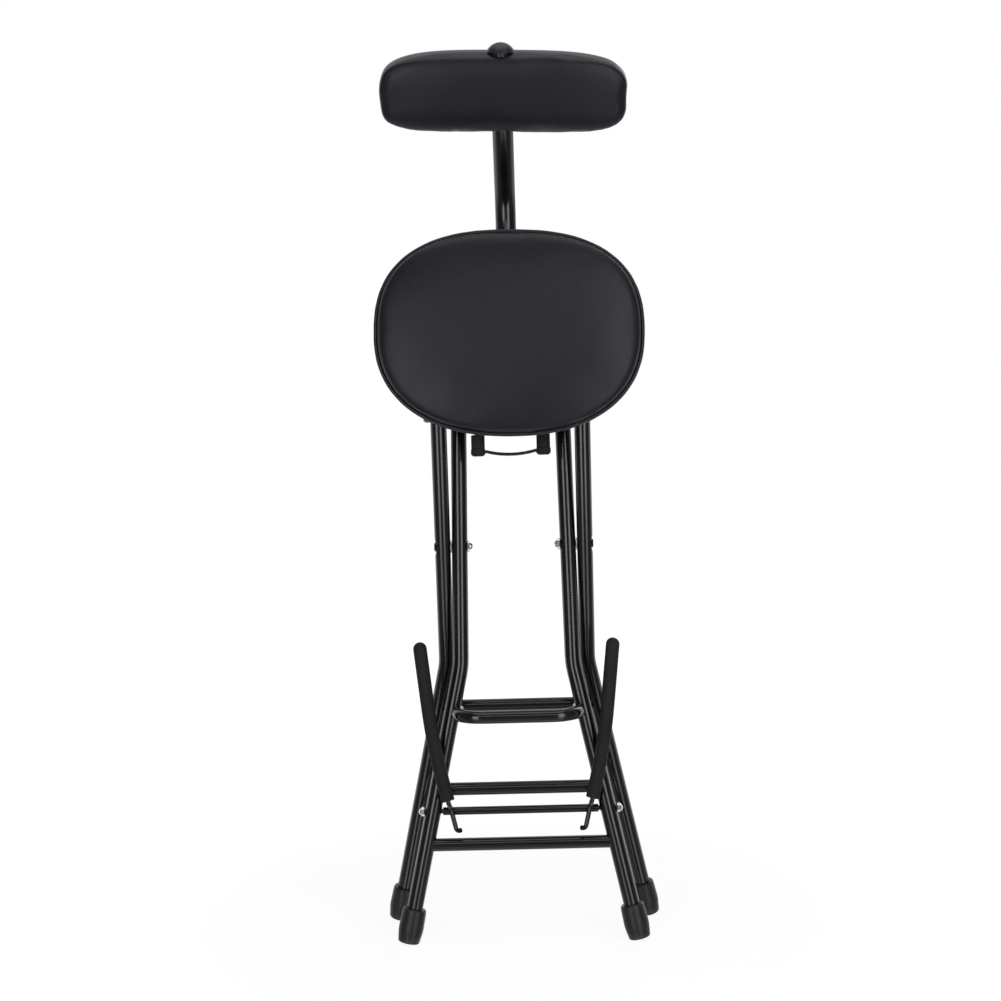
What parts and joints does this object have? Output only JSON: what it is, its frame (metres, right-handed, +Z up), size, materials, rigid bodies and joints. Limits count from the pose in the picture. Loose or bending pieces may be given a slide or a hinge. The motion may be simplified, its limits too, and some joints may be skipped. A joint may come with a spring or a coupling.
{
  "type": "folding guitar stool",
  "caption": "Tall folding stool for a guitar player with a padded seat, a padded backrest on a bent post, a footrest bar, a neck yoke and a fold-out guitar cradle.",
  "frame": {"origin": "centre of the bounding box's base, on the floor that the four feet stand on", "axes": "+Z up, +X to the right seen from the front, the front (the seat's side when folded) towards -Y; the stool is stored folded"},
  "size_m": [0.3512, 0.2194, 1.1209],
  "materials": {
    "black_paint": "glossy black powder coat",
    "foot_rubber": "matte moulded rubber",
    "black_plastic": "moulded black plastic",
    "zinc": "zinc-plated",
    "chrome": "polished chrome plating",
    "bare_steel": "plain steel, hidden in the back pad",
    "vinyl": "fine-grained black vinyl over foam",
    "piping_vinyl": "smooth black vinyl cord",
    "plywood": "plywood under thin black cloth",
    "sleeve_rubber": "soft foam rubber sleeve",
    "strap_elastic": "elastic cord"
  },
  "bodies": {
    "inner_frame": {"inner_left_leg": "black_paint", "inner_right_leg": "black_paint", "inner_top_bar": "black_paint", "inner_upper_crossbar": "black_paint", "inner_lower_crossbar": "black_paint", "footrest_bar": "black_paint", "inner_feet": "foot_rubber", "inner_bar_plugs": "black_plastic", "pivot_bolts": "black_paint", "pivot_nuts": "chrome", "pivot_washers": "zinc", "post_socket": "black_paint", "post_bolt": "zinc", "backrest_post": "black_paint", "post_cap": "black_plastic", "back_sleeve": "bare_steel", "back_plate": "bare_steel", "back_pad": "vinyl"},
    "outer_frame": {"outer_left_leg": "black_paint", "outer_right_leg": "black_paint", "outer_top_bar": "black_paint", "outer_crossbar": "black_paint", "outer_feet": "foot_rubber", "outer_bar_plugs": "black_plastic"},
    "seat": {"seat_board": "plywood", "seat_pad": "vinyl", "seat_piping": "piping_vinyl", "seat_left_bracket": "black_paint", "seat_right_bracket": "black_paint", "seat_screws": "zinc", "neck_yoke": "black_paint", "yoke_left_sleeve": "sleeve_rubber", "yoke_right_sleeve": "sleeve_rubber", "neck_strap": "strap_elastic"},
    "cradle": {"cradle_rod": "black_paint", "cradle_nuts": "chrome", "cradle_left_arm": "black_paint", "cradle_right_arm": "black_paint", "cradle_left_sleeve": "sleeve_rubber", "cradle_right_sleeve": "sleeve_rubber", "cradle_sleeve_tips": "sleeve_rubber"}
  },
  "joints": [
    {"name": "leg_fold", "type": "hinge", "parent": "inner_frame", "child": "outer_frame", "pos_m": [0, -0.02945, 0.48874], "axis": [1, 0, 0], "range_deg": [0, 40.6]},
    {"name": "seat_tilt", "type": "hinge", "parent": "outer_frame", "child": "seat", "pos_m": [0, -0.04614, 0.65591], "axis": [1, 0, 0], "range_deg": [-106.5, 0]},
    {"name": "cradle_fold", "type": "hinge", "parent": "inner_frame", "child": "cradle", "pos_m": [0, -0.06218, 0.16077], "axis": [1, 0, 0], "range_deg": [0, 100]}
  ],
  "couplings": [
    {"joint": "seat_tilt", "follows": "leg_fold", "ratio": -2.6182}
  ]
}
